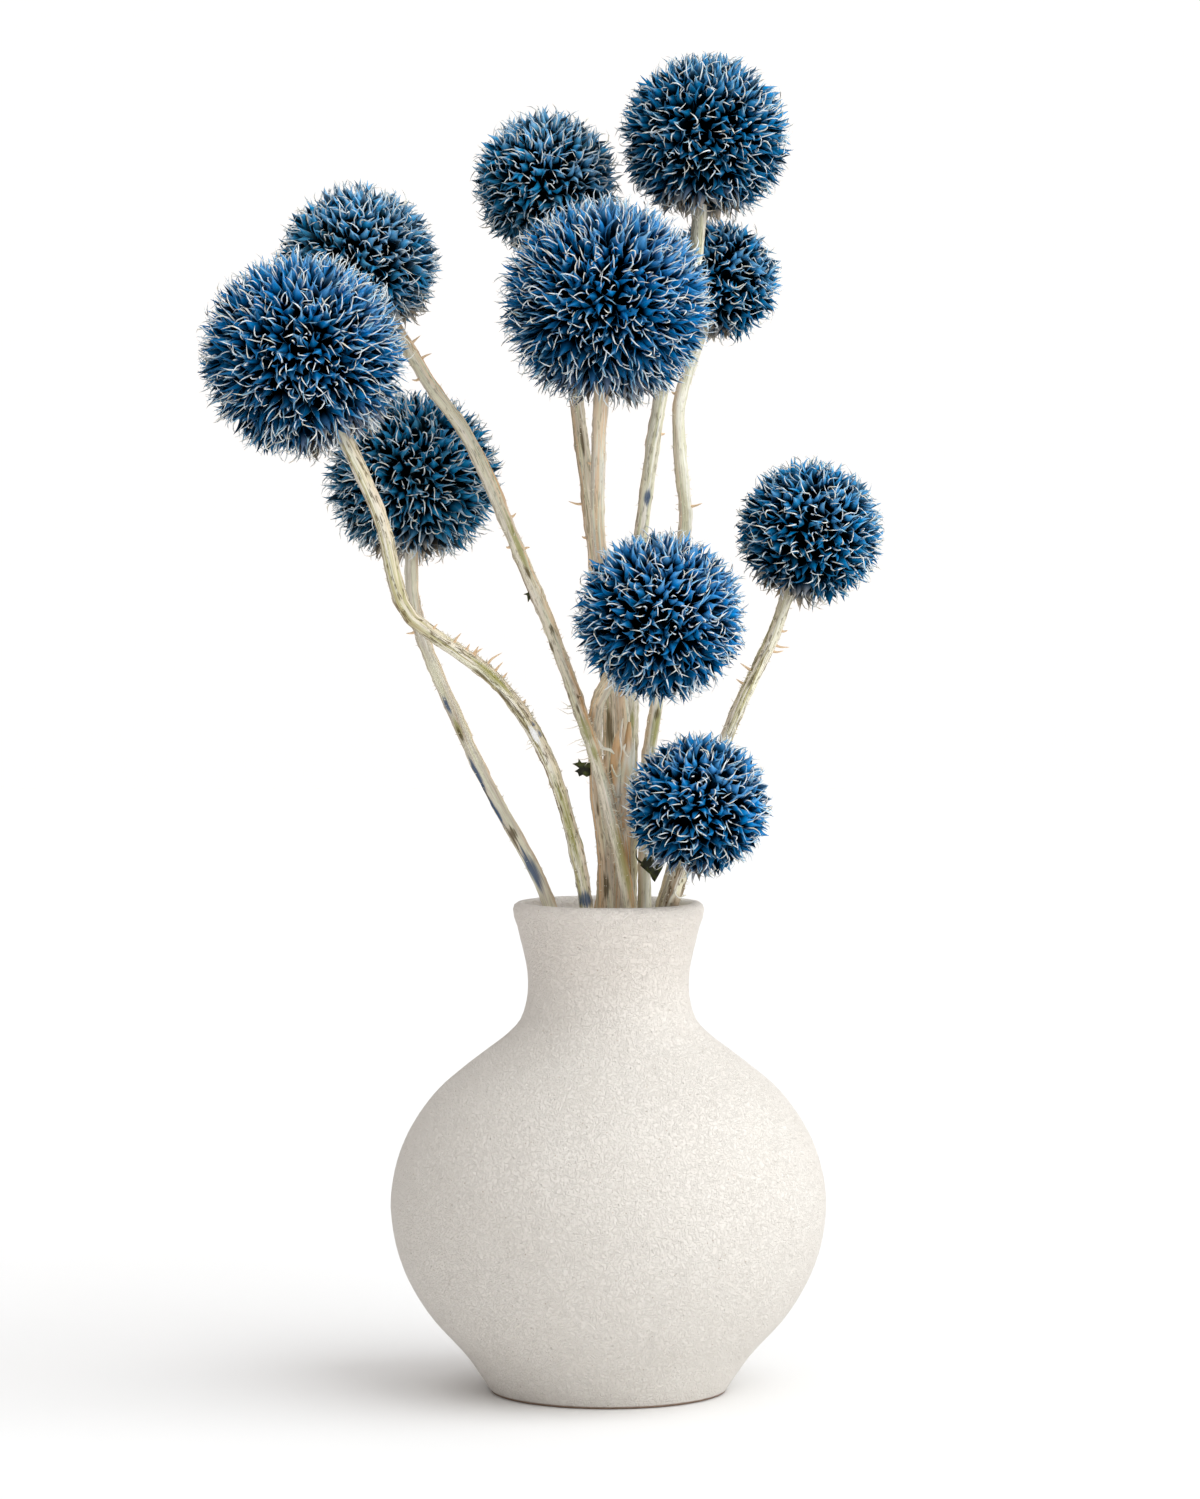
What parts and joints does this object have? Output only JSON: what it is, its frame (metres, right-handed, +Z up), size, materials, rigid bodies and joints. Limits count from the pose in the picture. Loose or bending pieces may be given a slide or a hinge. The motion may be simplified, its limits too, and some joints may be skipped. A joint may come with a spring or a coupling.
{
  "type": "globe thistle flowers in a vase",
  "caption": "Dried blue globe thistle flower heads on long bare stems, standing loosely in a small round-bellied vase of rough white ceramic.",
  "frame": {"origin": "centre of the vase's foot, on the surface it stands on", "axes": "+Z up along the vase's axis; -Y faces the viewer, +X to the viewer's right"},
  "size_m": [0.1694, 0.1135, 0.3347],
  "materials": {
    "vase_ceramic": "unglazed off-white ceramic with a fine rough surface",
    "dry_stem": "dry, ridged, cream and straw with brown streaks",
    "blue_florets": "matte deep blue, pale at the edges and tips",
    "teal_florets": "matte grey-teal, pale at the edges and tips",
    "navy_florets": "matte dark navy, pale at the edges and tips",
    "dry_leaf": "dry, dark olive green"
  },
  "bodies": {
    "root": {"vase": "vase_ceramic", "stem_1": "dry_stem", "stem_2": "dry_stem", "stem_3": "dry_stem", "stem_4": "dry_stem", "stem_5": "dry_stem", "stem_6": "dry_stem", "stem_7": "dry_stem", "stem_8": "dry_stem", "stem_9": "dry_stem", "stem_10": "dry_stem", "flower_head_1": "blue_florets", "flower_head_2": "teal_florets", "flower_head_3": "teal_florets", "flower_head_4": "teal_florets", "flower_head_5": "blue_florets", "flower_head_6": "navy_florets", "flower_head_7": "navy_florets", "flower_head_8": "navy_florets", "flower_head_9": "blue_florets", "flower_head_10": "blue_florets", "leaf_scrap_1": "dry_leaf", "leaf_scrap_2": "dry_leaf"}
  },
  "joints": []
}
